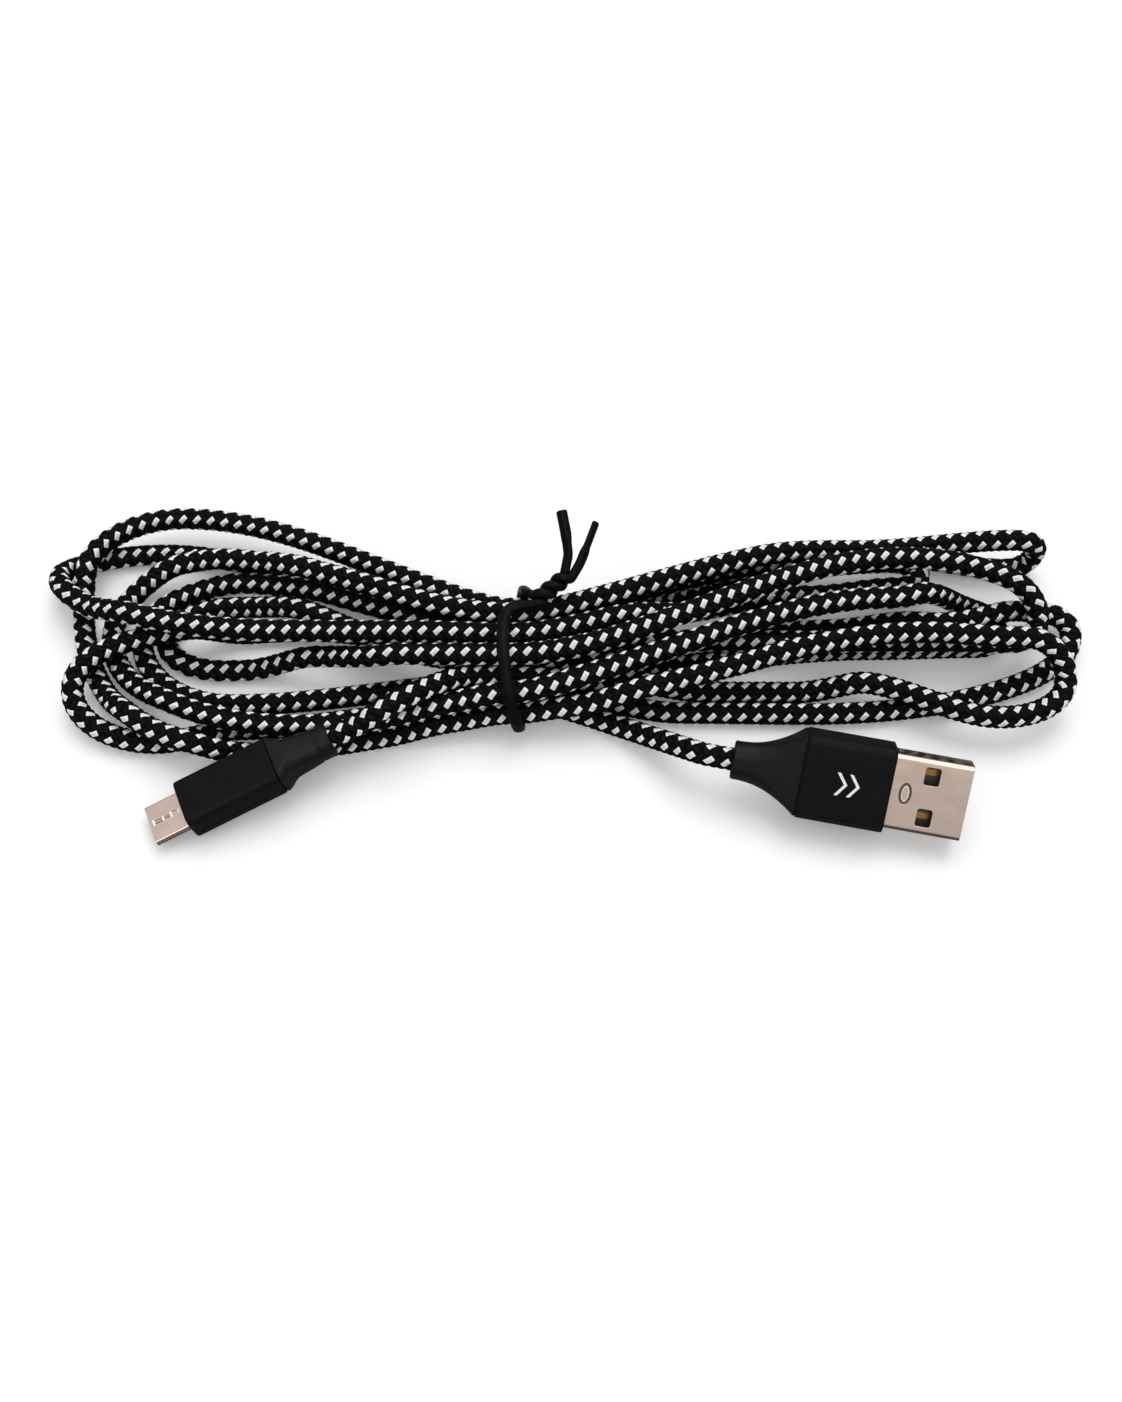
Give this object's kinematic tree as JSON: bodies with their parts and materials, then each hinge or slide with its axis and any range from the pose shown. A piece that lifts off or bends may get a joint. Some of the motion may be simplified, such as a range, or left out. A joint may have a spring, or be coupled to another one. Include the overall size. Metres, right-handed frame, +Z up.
{
  "type": "charging_cable",
  "caption": "Two-metre charging cable with a black and white braided cord, USB-A to Micro-B, folded into a flat hank and tied at the waist with a black twist tie",
  "frame": {"origin": "on the resting plane, below the middle of the tied waist", "axes": "+X along the hank towards the USB-A plug, +Y away from the two plugs, +Z up"},
  "size_m": [0.173, 0.062, 0.0206],
  "materials": {
    "braid": "woven, black with white flecks",
    "tie_plastic": "satin",
    "steel": "plain",
    "shell_metal": "nickel plated, satin",
    "micro_metal": "nickel plated, satin",
    "white_plastic": "plain",
    "gold": "gold plated",
    "black_plastic": "fine matt",
    "soft_black": "soft matt",
    "core_plastic": "plain"
  },
  "bodies": {
    "cable": {"hank": "braid", "usb_a_lead": "braid", "micro_lead": "braid", "twist_tie": "tie_plastic", "tie_wire": "steel", "usb_a_shell": "shell_metal", "usb_a_tongue": "white_plastic", "usb_a_contacts": "gold", "usb_a_clamp": "steel", "usb_a_inner_mould": "white_plastic", "usb_a_housing": "black_plastic", "usb_a_strain_relief": "soft_black", "usb_a_wires": "core_plastic", "usb_a_cable_end": "soft_black", "micro_shell": "micro_metal", "micro_insulator": "black_plastic", "micro_contacts": "gold", "micro_clamp": "steel", "micro_inner_mould": "white_plastic", "micro_housing": "black_plastic", "micro_strain_relief": "soft_black", "micro_wires": "core_plastic", "micro_cable_end": "soft_black"},
    "latch_left": {"micro_latch_left": "steel"},
    "latch_right": {"micro_latch_right": "steel"}
  },
  "joints": [
    {"name": "micro_latch_left_flex", "type": "hinge", "parent": "cable", "child": "latch_left", "pos_m": [-0.04591, -0.0257, 0.00324], "axis": [-0.4073, 0.9093, -0.0858], "range_deg": [0, 3.3], "stiffness_Nm_per_rad": 0.02},
    {"name": "micro_latch_right_flex", "type": "hinge", "parent": "cable", "child": "latch_right", "pos_m": [-0.04758, -0.02197, 0.00289], "axis": [-0.4073, 0.9093, -0.0858], "range_deg": [0, 3.3], "stiffness_Nm_per_rad": 0.02}
  ]
}
